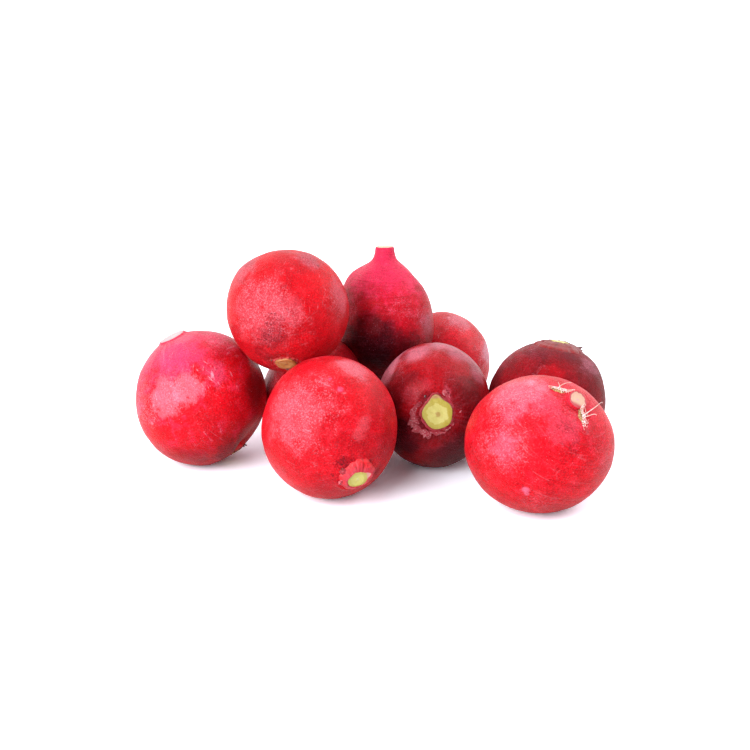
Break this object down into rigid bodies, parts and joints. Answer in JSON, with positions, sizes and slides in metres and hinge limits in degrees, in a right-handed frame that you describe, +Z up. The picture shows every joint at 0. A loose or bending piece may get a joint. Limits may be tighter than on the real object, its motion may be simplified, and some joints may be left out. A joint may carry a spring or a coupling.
{
  "type": "bunch of radishes",
  "caption": "Loose heap of trimmed red globe radishes, some resting on the others, with short cut roots and leaf stalks cut close to the crown.",
  "frame": {"origin": "on the surface that the heap lies on, below the middle of its box", "axes": "+Z up; +X to the right as the picture shows the heap, along its long side; -Y towards the viewer"},
  "size_m": [0.1426, 0.1119, 0.0665],
  "materials": {
    "bright_red_skin": "smooth radish skin with a soft waxy sheen, pinker towards the root",
    "red_skin": "smooth radish skin with a soft waxy sheen",
    "dark_red_skin": "dark crimson radish skin with a soft waxy sheen",
    "cut_leaf_stalks": "cut yellow-green leaf stalks, slightly moist",
    "rootlets": "dry fine pale rootlets"
  },
  "bodies": {
    "root": {"left_radish": "bright_red_skin", "front_radish": "bright_red_skin", "right_radish": "bright_red_skin", "upper_left_radish": "red_skin", "upper_rear_radish": "red_skin", "rear_radish": "red_skin", "inner_radish": "red_skin", "middle_radish": "dark_red_skin", "far_right_radish": "dark_red_skin", "left_leaf_stalks": "cut_leaf_stalks", "front_leaf_stalks": "cut_leaf_stalks", "right_leaf_stalks": "cut_leaf_stalks", "upper_left_leaf_stalks": "cut_leaf_stalks", "upper_rear_leaf_stalks": "cut_leaf_stalks", "rear_leaf_stalks": "cut_leaf_stalks", "inner_leaf_stalks": "cut_leaf_stalks", "middle_leaf_stalks": "cut_leaf_stalks", "far_right_leaf_stalks": "cut_leaf_stalks", "right_rootlets_upper": "rootlets", "right_rootlets_lower": "rootlets"}
  },
  "joints": []
}
